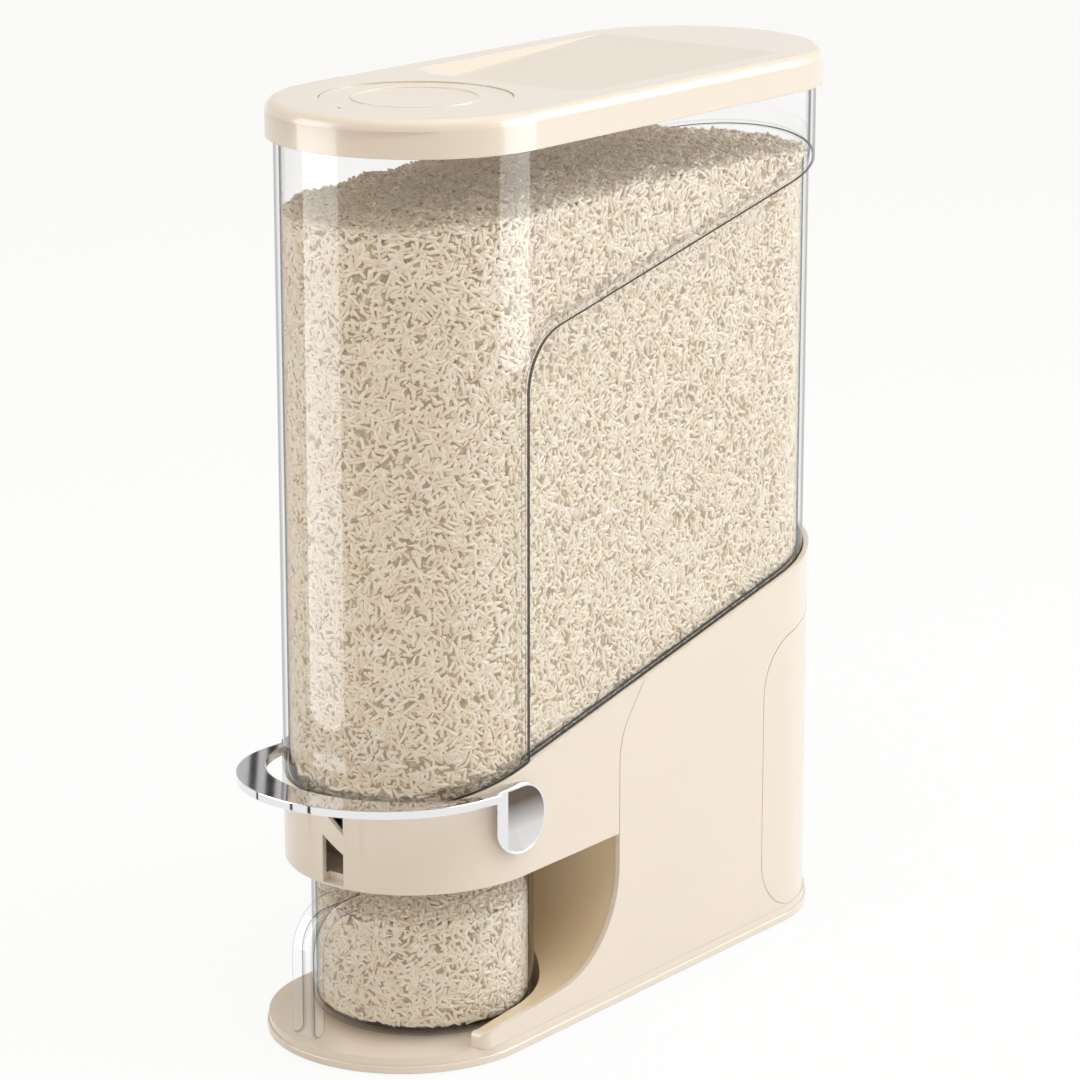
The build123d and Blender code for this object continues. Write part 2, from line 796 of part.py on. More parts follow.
def ear_side(shrink):
    """Side view of an ear: a round lobe about the pivot with a neck running into the ring."""
    neck_front = pivot_y - neck_length
    neck_low = ring_level(pivot_y - ear_radius) - ring_thickness
    neck_meets = pivot_y - math.sqrt(ear_radius ** 2 - (neck_low - pivot_z) ** 2)
    crown_y = pivot_y - ear_crown_shift
    crown_z = pivot_z + math.sqrt(ear_radius ** 2 - ear_crown_shift ** 2)
    with BuildSketch() as ear:
        with Locations((pivot_y, pivot_z)):
            Circle(ear_radius)
        add(outline([(neck_front, ring_level(neck_front)), (crown_y, crown_z), (crown_y, neck_low),
                     (neck_front, ring_level(neck_front) - ring_thickness)]))
        fillet(ear.vertices().sort_by_distance((neck_meets, neck_low, 0))[0], neck_round)
        if shrink:
            offset(amount=-shrink)
            add(area(pivot_y - ear_radius - neck_round, far, 0, far), mode=Mode.INTERSECT)
    return ear.sketch


def lever_band():
    """The ring itself: a flat band around the head's front, sloping up to its front edge."""
    with BuildPart() as band:
        with BuildSketch(at_level(0)):
            add(lever_plan())
            with Locations((0, ring_centre + ring_inner_shift)):
                Circle(ring_inner_radius, mode=Mode.SUBTRACT)
            Circle(hopper_radius + ring_play, mode=Mode.SUBTRACT)
            add(area(-hopper_radius - ring_play, hopper_radius + ring_play, 0, far), mode=Mode.SUBTRACT)
        extrude(amount=far)
        with BuildSketch(side_view):
            add(outline([(-far, ring_level(-far) - ring_thickness),
                         (pivot_y, ring_level(pivot_y) - ring_thickness),
                         (pivot_y, ring_level(pivot_y)), (-far, ring_level(-far))]))
        extrude(amount=far, both=True, mode=Mode.INTERSECT)
    return band.part


# Press ring: the chrome lever, one piece with the rims of its two ears
with BuildPart() as press_ring:
    for side in (-1, 1):
        with BuildSketch(at_side(side * ear_inner_x)):
            add(ear_side(0))
        extrude(amount=side * ear_thickness)
    with BuildSketch(at_level(0)):
        add(lever_plan())
    extrude(amount=far, mode=Mode.INTERSECT)
    add(lever_band())
    for side in (-1, 1):
        with BuildSketch(at_side(side * (ear_outer_x - ear_plate_thickness))):
            add(ear_side(ear_rim))
        extrude(amount=side * far, mode=Mode.SUBTRACT)
    with BuildSketch(side_view):
        with Locations((pivot_y, pivot_z)):
            Circle(pin_radius)
    extrude(amount=far, both=True, mode=Mode.SUBTRACT)
press_ring.part.label = "press_ring"
export_step(press_ring.part, "parts/press_ring.step")


def ear_plate(side):
    """Satin plate let into an ear, its face dished like a shallow spoon."""
    dish_reach = ear_radius - ear_rim
    dish_radius = (dish_reach ** 2 + ear_dish ** 2) / (2 * ear_dish)
    with BuildPart() as plate:
        with BuildSketch(at_side(side * (ear_outer_x - ear_plate_thickness))):
            add(ear_side(ear_rim))
        extrude(amount=side * ear_plate_thickness)
        with BuildSketch(at_level(0)):
            add(lever_plan())
        extrude(amount=far, mode=Mode.INTERSECT)
        with Locations((side * (ear_outer_x - ear_dish + dish_radius), y_front + pivot_y, pivot_z)):
            Sphere(dish_radius, mode=Mode.SUBTRACT)
    return plate


ear_plate_right = ear_plate(1)
ear_plate_right.part.label = "ear_plate_right"
export_step(ear_plate_right.part, "parts/ear_plate_right.step")

ear_plate_left = ear_plate(-1)
ear_plate_left.part.label = "ear_plate_left"
export_step(ear_plate_left.part, "parts/ear_plate_left.step")


def lower_form(inset, low, top):
    """The tank's lower body: round-ended, with a sloping floor and a tapered front and sides."""
    front_rise = math.tan(math.radians(front_taper_deg))
    front_shift = inset / math.sin(math.radians(front_taper_deg))
    side_shift = inset / math.sin(math.radians(side_taper_deg))
    floor_shift = inset / math.cos(math.radians(floor_deg))
    front_low = front_shift - lower_radius + (front_taper_height - low) / front_rise
    rear_low = (low - floor_at_axis - floor_shift) / floor_rise
    half_low = lower_radius - side_shift - (side_taper_height - low) / side_taper_rise
    wide = 2 * lower_radius
    with BuildPart() as form:
        with BuildSketch(at_level(low)):
            add(slot_plan(lower_radius - inset))
        extrude(amount=top - low)
        with BuildSketch(side_view):
            add(outline([(front_low, low), (rear_low, low), (far, tank_floor(far) + floor_shift),
                         (far, far), (-wide, far),
                         (-wide, front_taper_height + (wide - lower_radius + front_shift) * front_rise)]))
        extrude(amount=far, both=True, mode=Mode.INTERSECT)
        with BuildSketch(front_view):
            wide_height = side_taper_height + (wide - lower_radius + side_shift) * side_taper_rise
            add(outline([(-half_low, low), (half_low, low), (wide, wide_height), (wide, far),
                         (-wide, far), (-wide, wide_height)]))
        extrude(amount=far, both=True, mode=Mode.INTERSECT)
    return form.part


def upper_form(inset, top):
    """The tank's full-width body: its front, and all of it above the slanted recess line."""
    low = stand_edge(-hopper_radius)
    lift = inset / math.cos(math.radians(slope_deg))
    low_lift = line_gap + inset / math.cos(math.radians(front_slope_deg))
    front_level = edge_front_height + line_gap + inset
    level_ends = (front_level - edge_height - low_lift) / front_slope_rise
    corner = (-inset, recess_height - inset * slope_rise + lift)
    with BuildPart() as form:
        with BuildSketch(at_level(low)):
            add(slot_plan(hopper_radius - inset))
        extrude(amount=top - low)
        with BuildSketch(side_view):
            add(outline([(-far, front_level), (level_ends, front_level),
                         (-inset, stand_edge(-inset) + low_lift), corner,
                         (far, recess_height + far * slope_rise + lift), (far, 2 * far), (-far, 2 * far)],
                        [(corner, recess_round + inset)]))
        extrude(amount=far, both=True, mode=Mode.INTERSECT)
    return form.part


def tank_form(inset, low, top):
    """The tank's whole form, shrunk by inset."""
    with BuildPart() as form:
        add(lower_form(inset, low, top))
        add(upper_form(inset, top))
    return form.part


# Hopper tank: one clear moulding, open above, with its mouth low in front
tank_rim = deck_inside - rest_gap
with BuildPart() as hopper_tank:
    add(tank_form(0, outlet_height, tank_rim))
    add(tank_form(tank_wall, outlet_height - tank_wall, tank_rim + tank_wall), mode=Mode.SUBTRACT)
hopper_tank.part.label = "hopper_tank"
export_step(hopper_tank.part, "parts/hopper_tank.step")



def heap():
    """Everything under the hopper rice's top: a low arch with shallow mounds all over it."""
    rows = round((axis_gap + 2 * hopper_radius) / mound_step)
    columns = round(2 * hopper_radius / mound_step)
    with BuildPart() as pile:
        with BuildSketch(side_view):
            with BuildLine():
                arch = ThreePointArc((-hopper_radius, total_height - rice_front_drop),
                                     (axis_gap / 2, total_height - rice_crown_drop),
                                     (axis_gap + hopper_radius, total_height - rice_rear_drop))
                Polyline(arch @ 1, (axis_gap + hopper_radius, 0), (-hopper_radius, 0), arch @ 0)
            make_face()
        extrude(amount=hopper_radius, both=True)
        for row in range(rows):
            spot = arch @ ((row + 1 / 2) / rows)
            across = columns - row % 2
            with Locations(*[((column - (across - 1) / 2) * mound_step,
                              y_front + spot.X, spot.Y + mound_height) for column in range(across)]):
                Sphere(mound_radius, arc_size1=mound_edge_deg, align=(Align.CENTER, Align.CENTER, Align.MAX))
    return pile.part


# Rice in the hopper: the fill that the photograph shows
with BuildPart() as rice_in_hopper:
    add(tank_form(tank_wall + rice_gap, outlet_height + rest_gap, tank_rim))
    add(heap(), mode=Mode.INTERSECT)
rice_in_hopper.part.label = "rice_in_hopper"
export_step(rice_in_hopper.part, "parts/rice_in_hopper.step")


def sunk_form(grow, top):
    """The lid's sunk panel: slanting walls and a floor that rises to the rear, grown by grow."""
    wall_rise = math.tan(math.radians(sunk_wall_deg))
    shift = grow / math.sin(math.radians(sunk_wall_deg))
    low = total_height - sunk_depth - grow - sunk_skin
    with BuildPart() as sunk:
        for z in (low, top):
            inset = (total_height - z) / wall_rise - shift
            with BuildSketch(at_level(z)):
                with Locations((0, (sunk_front + sunk_rear) / 2)):
                    RectangleRounded(2 * (sunk_half_width - inset), sunk_rear - sunk_front - 2 * inset,
                                     sunk_round - inset)
        loft()
        with BuildSketch(side_view):
            floor = total_height - sunk_depth - grow
            add(outline([(sunk_front - far, floor - sunk_fall * far),
                         (sunk_front + far, floor + sunk_fall * far),
                         (sunk_front + far, 2 * far), (sunk_front - far, 2 * far)]))
        extrude(amount=far, both=True, mode=Mode.INTERSECT)
    return sunk.part


def lid_plug(outer, inner, low, high):
    """Upright wall that follows the tank's mouth."""
    with BuildPart() as wall:
        with BuildSketch(at_level(low)):
            add(slot_plan(outer))
            add(slot_plan(inner), mode=Mode.SUBTRACT)
        extrude(amount=high - low)
    return wall.part


# Lid: skirted shell with a sunk panel behind and a round seat for the cap in front
sunk_fall = sunk_depth / (sunk_rear - sunk_front - sunk_round)
plug_outer = hopper_radius - tank_wall - plug_inset
cap_ledge = total_height - cap_seat
with BuildPart() as lid_shell:
    with BuildSketch(at_level(lid_bottom)):
        add(slot_plan(lid_radius))
    extrude(amount=lid_skirt)
    fillet(lid_shell.faces().sort_by(Axis.Z)[-1].edges(), lid_round)
    with BuildSketch(at_level(lid_bottom)):
        add(slot_plan(hopper_radius + lid_play))
    extrude(amount=deck_inside - lid_bottom, mode=Mode.SUBTRACT)
    add(lid_plug(plug_outer, plug_outer - plug_wall, deck_inside - plug_depth, deck_inside))
    with BuildSketch(at_level(deck_inside - cap_collar_height)):
        Circle(cap_bore + cap_collar_wall)
    extrude(amount=cap_collar_height)
    add(sunk_form(sunk_skin, deck_inside + seam_gap))
    add(sunk_form(0, total_height + sunk_skin), mode=Mode.SUBTRACT)
    with BuildSketch(at_level(cap_ledge)):
        Circle(cap_radius)
    extrude(amount=lid_skirt, mode=Mode.SUBTRACT)
    with BuildSketch(at_level(total_height - cap_seat + notch_shelf)):
        with Locations((0, notch_y)):
            Circle(notch_radius)
    extrude(amount=lid_skirt, mode=Mode.SUBTRACT)
    with BuildSketch(at_level(lid_bottom)):
        Circle(cap_bore)
    extrude(amount=far, mode=Mode.SUBTRACT)
    lip_chord = math.sqrt(lid_radius ** 2 - lip_half_width ** 2)
    lip_bow = lid_radius - lip_depth - lip_chord
    lip_radius_plan = (lip_half_width ** 2 + lip_bow ** 2) / (2 * lip_bow)
    with BuildSketch(at_level(lid_bottom)):
        add(area(-lid_radius, lid_radius, -2 * lid_radius, -lip_chord))
        with Locations((0, lip_radius_plan - lid_radius + lip_depth)):
            Circle(lip_radius_plan, mode=Mode.SUBTRACT)
    extrude(amount=lid_skirt - lip_drop, mode=Mode.SUBTRACT)
lid_shell.part.label = "lid_shell"
export_step(lid_shell.part, "parts/lid_shell.step")

# Lid gasket: the soft ring around the plug that seals the tank's mouth
with BuildPart() as lid_gasket:
    gasket_bottom = deck_inside - plug_depth + lid_gasket_low
    add(lid_plug(hopper_radius - tank_wall - rest_gap, plug_outer,
                 gasket_bottom, gasket_bottom + lid_gasket_height))
lid_gasket.part.label = "lid_gasket"
export_step(lid_gasket.part, "parts/lid_gasket.step")

# Freshness cap: the round cap in the lid's front, with a finger tab, a bead and a skirt
cap_under = cap_ledge + cap_play
cap_top = total_height - cap_low
cap_skirt_outer = cap_bore - cap_play
cap_skirt_inner = cap_skirt_outer - cap_skirt_wall
with BuildPart() as freshness_cap:
    with BuildSketch(at_level(cap_under)):
        Circle(cap_radius - cap_play)
    extrude(amount=cap_top - cap_under)
    with BuildSketch(at_level(cap_ledge + notch_shelf + cap_play)):
        with Locations((0, notch_y)):
            Circle(tab_radius)
    extrude(amount=cap_top - cap_ledge - notch_shelf - cap_play)
    with BuildSketch(at_level(cap_top)):
        add(ring_sketch(bead_radius + bead_width, bead_radius))
    extrude(amount=cap_low)
    fillet(freshness_cap.faces().sort_by(Axis.Z)[-1].edges(), bead_width / 4)
    with BuildSketch(at_level(cap_under - cap_skirt_depth)):
        add(ring_sketch(cap_skirt_outer, cap_skirt_inner))
    extrude(amount=cap_skirt_depth)
    with BuildSketch(at_level(cap_under)):
        add(ring_sketch(seal_inner + seal_width, seal_inner))
    extrude(amount=seal_height, mode=Mode.SUBTRACT)
freshness_cap.part.label = "freshness_cap"
export_step(freshness_cap.part, "parts/freshness_cap.step")

with BuildPart() as cap_seal:
    with BuildSketch(at_level(cap_under)):
        add(ring_sketch(seal_inner + seal_width, seal_inner))
    extrude(amount=seal_height)
cap_seal.part.label = "cap_seal"
export_step(cap_seal.part, "parts/cap_seal.step")

# Desiccant tray: a slotted basket held in the cap's skirt
tray_top = cap_under - cap_skirt_depth + tray_overlap
tray_radius = cap_skirt_inner - tray_play
with BuildPart() as desiccant_tray:
    with BuildSketch(at_level(tray_top - tray_depth)):
        Circle(tray_radius)
    extrude(amount=tray_depth)
    with BuildSketch(at_level(tray_top - tray_depth + tray_wall)):
        Circle(tray_radius - tray_wall)
    extrude(amount=tray_depth, mode=Mode.SUBTRACT)
    with BuildSketch(at_level(tray_top - tray_depth)):
        with PolarLocations(tray_slot_radius, tray_slots):
            SlotOverall(tray_slot_length, tray_slot_width)
    extrude(amount=tray_wall, mode=Mode.SUBTRACT)
desiccant_tray.part.label = "desiccant_tray"
export_step(desiccant_tray.part, "parts/desiccant_tray.step")

with BuildPart() as desiccant_pack:
    with BuildSketch(at_level(tray_top - tray_depth + tray_wall)):
        Circle(tray_radius - tray_wall - pack_play)
    extrude(amount=pack_height)
    fillet(desiccant_pack.edges().filter_by(GeomType.CIRCLE), pack_round)
desiccant_pack.part.label = "desiccant_pack"
export_step(desiccant_pack.part, "parts/desiccant_pack.step")


def cup_handle():
    """Cup handle: a flat bar that runs forward from the wall and hangs down, open below."""
    root = -cup_radius + cup_wall + handle_edge
    with BuildPart() as handle:
        with BuildSketch(side_view):
            bend = (handle_front, handle_top)
            inner_bend = (handle_front + handle_bar, handle_top - handle_bar)
            tip = (handle_front, handle_end)
            inner_tip = (handle_front + handle_bar, handle_end)
            add(outline([tip, bend, (root, handle_top), (root, handle_top - handle_bar),
                         inner_bend, inner_tip],
                        [(bend, handle_bend), (inner_bend, handle_bend - handle_bar),
                         (tip, handle_tip_round), (inner_tip, handle_tip_round)]))
        extrude(amount=handle_width / 2, both=True)
        sides = handle.faces().sort_by(Axis.X)
        fillet(sides[0].edges() + sides[-1].edges(), handle_edge)
    return handle.part


# Measuring cup: clear, with a round bottom edge
cup_base = plate_top + rest_gap
with BuildPart() as measuring_cup:
    add(cup_handle())
    with BuildSketch(at_level(cup_base)):
        Circle(cup_radius)
    extrude(amount=cup_rim - cup_base)
    fillet(measuring_cup.faces().sort_by(Axis.Z)[0].edges(), cup_round)
    with BuildSketch(front_view):
        add(outline([(0, cup_base + cup_floor), (cup_radius - cup_wall, cup_base + cup_floor),
                     (cup_radius - cup_wall, 2 * cup_rim), (0, 2 * cup_rim)],
                    [((cup_radius - cup_wall, cup_base + cup_floor), cup_round - cup_wall)]))
    revolve(axis=front_axis, mode=Mode.SUBTRACT)
measuring_cup.part.label = "measuring_cup"
export_step(measuring_cup.part, "parts/measuring_cup.step")

# Rice in the cup: a heap that is level at the wall and domed in the middle
with BuildPart() as rice_in_cup:
    heap_radius = cup_radius - cup_wall - rice_gap
    heap_base = cup_base + cup_floor + rice_gap
    with BuildSketch(front_view):
        with BuildLine():
            Line((0, cup_rice_top), (0, heap_base))
            Line((0, heap_base), (heap_radius, heap_base))
            Line((heap_radius, heap_base), (heap_radius, cup_rice_side))
            TangentArc((0, cup_rice_top), (heap_radius, cup_rice_side), tangent=(1, 0))
        heap = make_face()
        fillet(heap.vertices().sort_by_distance((heap_radius, heap_base, 0))[0], cup_round - cup_wall)
    revolve(axis=front_axis)
rice_in_cup.part.label = "rice_in_cup"
export_step(rice_in_cup.part, "parts/rice_in_cup.step")
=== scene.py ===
import bmesh
import bpy
import math
import numpy as np
from mathutils import Matrix, Vector, kdtree
from mathutils.bvhtree import BVHTree


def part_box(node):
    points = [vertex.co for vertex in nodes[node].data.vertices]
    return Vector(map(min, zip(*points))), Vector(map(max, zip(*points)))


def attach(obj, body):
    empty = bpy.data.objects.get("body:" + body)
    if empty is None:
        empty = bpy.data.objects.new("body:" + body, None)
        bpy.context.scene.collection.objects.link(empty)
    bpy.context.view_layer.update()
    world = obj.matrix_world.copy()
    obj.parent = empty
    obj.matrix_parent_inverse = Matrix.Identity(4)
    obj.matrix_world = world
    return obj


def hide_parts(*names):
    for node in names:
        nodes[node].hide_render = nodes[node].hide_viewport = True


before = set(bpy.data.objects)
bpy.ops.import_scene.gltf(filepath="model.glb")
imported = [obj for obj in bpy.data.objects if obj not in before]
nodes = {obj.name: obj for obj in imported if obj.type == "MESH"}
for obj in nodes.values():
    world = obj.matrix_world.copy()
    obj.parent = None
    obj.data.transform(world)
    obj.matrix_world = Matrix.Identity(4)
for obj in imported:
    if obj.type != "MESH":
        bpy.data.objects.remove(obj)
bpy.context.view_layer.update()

# Dressing for the rice dispenser: plastics, chrome, clear walls and the loose grains.
# Metres, +Z up, the cup's side is -Y, as in the frame.

MM = 0.001
WHITE = (1, 1, 1, 1)

# The hopper's two round ends, and the cup, which stands on the axis of the front one
tank_low, tank_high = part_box("hopper_tank")
hopper_rad = tank_high.x
front_axis_y = tank_low.y + hopper_rad
rear_axis_y = tank_high.y - hopper_rad
cup_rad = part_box("measuring_cup")[1].x

# The stand's top edge behind the front axis: its height there and its slope
STAND_EDGE = 0.1423
STAND_SLOPE = math.tan(math.radians(12))


# Placing things

def new_object(name, data):
    """A scene object round a mesh, a lamp or a camera."""
    thing = bpy.data.objects.new(name, data)
    bpy.context.scene.collection.objects.link(thing)
    return thing


def stand_off(thing, target, distance, azimuth, elevation):
    """Place a lamp or camera at a compass angle round its target, facing it; 0 is the cup's side."""
    az = math.radians(azimuth)
    el = math.radians(elevation)
    offset = Vector((math.sin(az) * math.cos(el), -math.cos(az) * math.cos(el), math.sin(el)))
    thing.location = Vector(target) + offset * distance
    thing.rotation_euler = (-offset).to_track_quat("-Z", "Y").to_euler()


# Camera, at the photograph's viewing angle

VIEW_TARGET = (0, 0.00353, 0.21934)
VIEW_DISTANCE = 1.98776
VIEW_AZIMUTH = 37.74
VIEW_ELEVATION = 15.2
VIEW_LENS = 135.13
SENSOR_WIDTH = 36
FAR_CLIP = 50

camera = new_object("photo_camera", bpy.data.cameras.new("photo_camera"))
stand_off(camera, VIEW_TARGET, VIEW_DISTANCE, VIEW_AZIMUTH, VIEW_ELEVATION)
camera.data.lens = VIEW_LENS
camera.data.sensor_width = SENSOR_WIDTH
camera.data.clip_end = FAR_CLIP
bpy.context.scene.camera = camera
bpy.context.scene.view_settings.view_transform = "Standard"


# Shader helpers

def new_material(name):
    """A material with an empty shader tree, and the tree."""
    material = bpy.data.materials.new(name)
    material.use_nodes = True
    tree = material.node_tree
    tree.nodes.clear()
    return material, tree


def add_node(tree, kind, **settings):
    """A shader node with its sockets or settings filled in; an underscore stands for a space."""
    node = tree.nodes.new(kind)
    for key, value in settings.items():
        socket = key.replace("_", " ")
        if socket in node.inputs:
            node.inputs[socket].default_value = value
        else:
            setattr(node, key, value)
    return node


def feed(tree, value, socket):
    """Give a socket another socket's value, or a plain number or colour."""
    if isinstance(value, bpy.types.NodeSocket):
        tree.links.new(value, socket)
    else:
        socket.default_value = value


def maths(tree, operation, *values):
    """One Math node over sockets and plain numbers."""
    node = add_node(tree, "ShaderNodeMath", operation=operation)
    for socket, value in zip(node.inputs, values):
        feed(tree, value, socket)
    return node.outputs[0]


def axes_of(tree, vector):
    """A vector's x, y and z."""
    axes = add_node(tree, "ShaderNodeSeparateXYZ")
    tree.links.new(vector, axes.inputs[0])
    return axes.outputs


def own_place(tree):
    """The piece's own coordinates, in metres."""
    return add_node(tree, "ShaderNodeTexCoord").outputs["Object"]


def noise_field(tree, scale, detail=3.0, stretch=(1, 1, 1)):
    """Noise over the piece's own coordinates."""
    mapping = add_node(tree, "ShaderNodeMapping", Scale=stretch)
    field = add_node(tree, "ShaderNodeTexNoise", Scale=scale, Detail=detail)
    tree.links.new(own_place(tree), mapping.inputs["Vector"])
    tree.links.new(mapping.outputs["Vector"], field.inputs["Vector"])
    return field.outputs["Fac"]


def colour_steps(tree, factor, *steps):
    """A colour for each place along the factor, blended between."""
    ramp = add_node(tree, "ShaderNodeValToRGB")
    stops = ramp.color_ramp.elements
    while len(stops) < len(steps):
        stops.new(0.5)
    for stop, (at, colour) in zip(stops, steps):
        stop.position = at
        stop.color = (*colour, 1)
    tree.links.new(factor, ramp.inputs["Fac"])
    return ramp.outputs["Color"]


def colour_between(tree, factor, low, high, low_at=0.3, high_at=0.7):
    """Two colours, blended between two places along the factor."""
    return colour_steps(tree, factor, (low_at, low), (high_at, high))


def bump_from(tree, height, distance, strength, normal=None):
    """A bumped normal, over the one given or the surface's own."""
    bump = add_node(tree, "ShaderNodeBump", Strength=strength, Distance=distance)
    tree.links.new(height, bump.inputs["Height"])
    if normal is not None:
        tree.links.new(normal, bump.inputs["Normal"])
    return bump.outputs["Normal"]


def soft_edges(tree, radius):
    """A normal that rounds the sharp edges to a small radius."""
    return add_node(tree, "ShaderNodeBevel", Radius=radius, samples=4).outputs["Normal"]


def principled(tree, colour, roughness, metallic=0.0, **more):
    """The main shader: its colour is three numbers or a socket, its roughness a number or a socket."""
    shader = add_node(tree, "ShaderNodeBsdfPrincipled", Metallic=metallic, **more)
    plain = not isinstance(colour, bpy.types.NodeSocket)
    feed(tree, (*colour, 1) if plain else colour, shader.inputs["Base Color"])
    feed(tree, roughness, shader.inputs["Roughness"])
    return shader


def mixed(tree, factor, first, second):
    """Two shaders blended: all of the first at 0, all of the second at 1."""
    mix = add_node(tree, "ShaderNodeMixShader")
    tree.links.new(factor, mix.inputs["Fac"])
    tree.links.new(first.outputs[0], mix.inputs[1])
    tree.links.new(second.outputs[0], mix.inputs[2])
    return mix


def close_material(tree, shader, normal=None):
    """Lead the shader to the material's surface, with its normal if one is given."""
    if normal is not None:
        tree.links.new(normal, shader.inputs["Normal"])
    output = add_node(tree, "ShaderNodeOutputMaterial")
    tree.links.new(shader.outputs[0], output.inputs["Surface"])


def scaled(colour, factor):
    """A colour made darker or brighter, with no channel over 1."""
    return tuple(min(1, channel * factor) for channel in colour)


# Opaque finishes

def moulded_plastic(name, colour, roughness):
    """Opaque moulded plastic: a faint cloud in its colour, a thin gloss, fine skin, softened edges."""
    cloud_scale, cloud_low, cloud_high = 9, 0.985, 1.01
    skin_scale, skin_detail, skin_depth, skin_strength = 900, 2, 0.02 * MM, 0.35
    edge_radius = 0.6 * MM
    material, tree = new_material(name)
    cloud = noise_field(tree, cloud_scale)
    tone = colour_between(tree, cloud, scaled(colour, cloud_low), scaled(colour, cloud_high))
    shader = principled(tree, tone, roughness, Coat_Weight=0.8, Coat_Roughness=0.06)
    grain = noise_field(tree, skin_scale, skin_detail)
    skin = bump_from(tree, grain, skin_depth, skin_strength, soft_edges(tree, edge_radius))
    close_material(tree, shader, skin)
    return material


def polished_metal(name, colour, roughness):
    """Plated metal: mirror bright, its roughness drifting a little, its edges softened."""
    drift_scale, drift_low, drift_high = 60, 0.8, 1.3
    edge_radius = 0.8 * MM
    material, tree = new_material(name)
    drift = add_node(tree, "ShaderNodeMapRange",
                     To_Min=roughness * drift_low, To_Max=roughness * drift_high)
    tree.links.new(noise_field(tree, drift_scale), drift.inputs["Value"])
    shader = principled(tree, colour, drift.outputs["Result"], metallic=1.0)
    close_material(tree, shader, soft_edges(tree, edge_radius))
    return material


def satin_metal(name, colour, roughness, painted_reflection_colour=None, shade_from=0.0, shade_to=1.0):
    """Satin metal with a very fine tooth; a darker colour, a painted reflection of dark surroundings,
    blends in between two heights towards the top.
    """
    tooth_scale, tooth_detail, tooth_depth, tooth_strength = 2500, 2, 0.02 * MM, 0.4
    material, tree = new_material(name)
    # Painted reflection: the colour darkens upwards as a mirror of dark surroundings would
    if painted_reflection_colour:
        rise = add_node(tree, "ShaderNodeMapRange", From_Min=shade_from, From_Max=shade_to)
        tree.links.new(axes_of(tree, own_place(tree))["Z"], rise.inputs["Value"])
        colour = colour_between(tree, rise.outputs["Result"], colour, painted_reflection_colour,
                                low_at=0.1, high_at=0.9)
    shader = principled(tree, colour, roughness, metallic=1.0)
    grain = noise_field(tree, tooth_scale, tooth_detail)
    close_material(tree, shader, bump_from(tree, grain, tooth_depth, tooth_strength))
    return material


def soft_rubber(name, colour, roughness):
    """Rubber or silicone: a faint cloud in its colour and a fine matt skin."""
    cloud_scale, cloud_low = 40, 0.95
    skin_scale, skin_detail, skin_depth, skin_strength = 1500, 2, 0.03 * MM, 0.4
    material, tree = new_material(name)
    tone = colour_between(tree, noise_field(tree, cloud_scale), scaled(colour, cloud_low), colour)
    shader = principled(tree, tone, roughness)
    grain = noise_field(tree, skin_scale, skin_detail)
    close_material(tree, shader, bump_from(tree, grain, skin_depth, skin_strength))
    return material


def paper_pack(name):
    """The desiccant's paper: a mottled off-white with fibres across it."""
    mottle_scale, mottle_detail = 220, 4
    fibre_scale, fibre_detail, fibre_depth, fibre_strength = 800, 4, 0.08 * MM, 0.5
    material, tree = new_material(name)
    mottle = noise_field(tree, mottle_scale, mottle_detail)
    tone = colour_between(tree, mottle, (0.72, 0.71, 0.67), (0.8, 0.79, 0.75))
    shader = principled(tree, tone, roughness=0.85)
    fibres = noise_field(tree, fibre_scale, fibre_detail, stretch=(1, 4, 1))
    close_material(tree, shader, bump_from(tree, fibres, fibre_depth, fibre_strength))
    return material


def grain_bed(name, dark, pale):
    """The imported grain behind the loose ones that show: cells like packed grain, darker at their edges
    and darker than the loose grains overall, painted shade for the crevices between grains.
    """
    cells_per_metre = 380
    lump_depth, lump_strength = 1 * MM, 0.9
    material, tree = new_material(name)
    cells = add_node(tree, "ShaderNodeTexVoronoi", Scale=cells_per_metre)
    tree.links.new(own_place(tree), cells.inputs["Vector"])
    # Painted shade: the dark tone at the cells' edges stands in for the shadow in the crevices
    tone = colour_between(tree, cells.outputs["Distance"], pale, dark, low_at=0.1)
    shader = principled(tree, tone, roughness=0.7)
    close_material(tree, shader, bump_from(tree, cells.outputs["Distance"], lump_depth, lump_strength))
    return material


def rice_tone(name, colour):
    """One tone of the loose grains."""
    material, tree = new_material(name)
    close_material(tree, principled(tree, colour, roughness=0.42, Specular_IOR_Level=0.4))
    return material


# Clear walls

# The two dark bands across the tank's moulded step, painted shade standing in for the light the step
# bends: depth under the tank's full width, half width and darkness; and half the width of the band
# where the tank stands in the stand's edge, a painted shadow in the gap there
STEP_OUTER_BAND = (0.9 * MM, 0.84 * MM, 1)
STEP_INNER_BAND = (2.8 * MM, 0.15 * MM, 0.6)
FOOT_BAND = 0.6 * MM

# The two dark bands on the handle's rounded edges, painted shade standing in for the light the clear bar
# bends, by how far the normal leans sideways: middle, half width and darkness; and how far past the
# cup's wall the handle starts
HANDLE_ROUND = (0.7, 0.2, 0.22)
HANDLE_LINE = (0.84, 0.06, 0.4)
HANDLE_GAP = 0.5 * MM

# Colour of the painted dark lines on the clear walls, shade standing in for bent light
PAINTED_LINE_COLOUR = (0.1, 0.09, 0.075, 1)
WALL_GLOSS_ROUGHNESS = 0.02
PLASTIC_IOR = 1.5


def dark_band(tree, value, middle, half_width, darkness):
    """The darkness where a value is within half a width of the middle, and 0 elsewhere."""
    return maths(tree, "MULTIPLY", maths(tree, "COMPARE", value, middle, half_width), darkness)


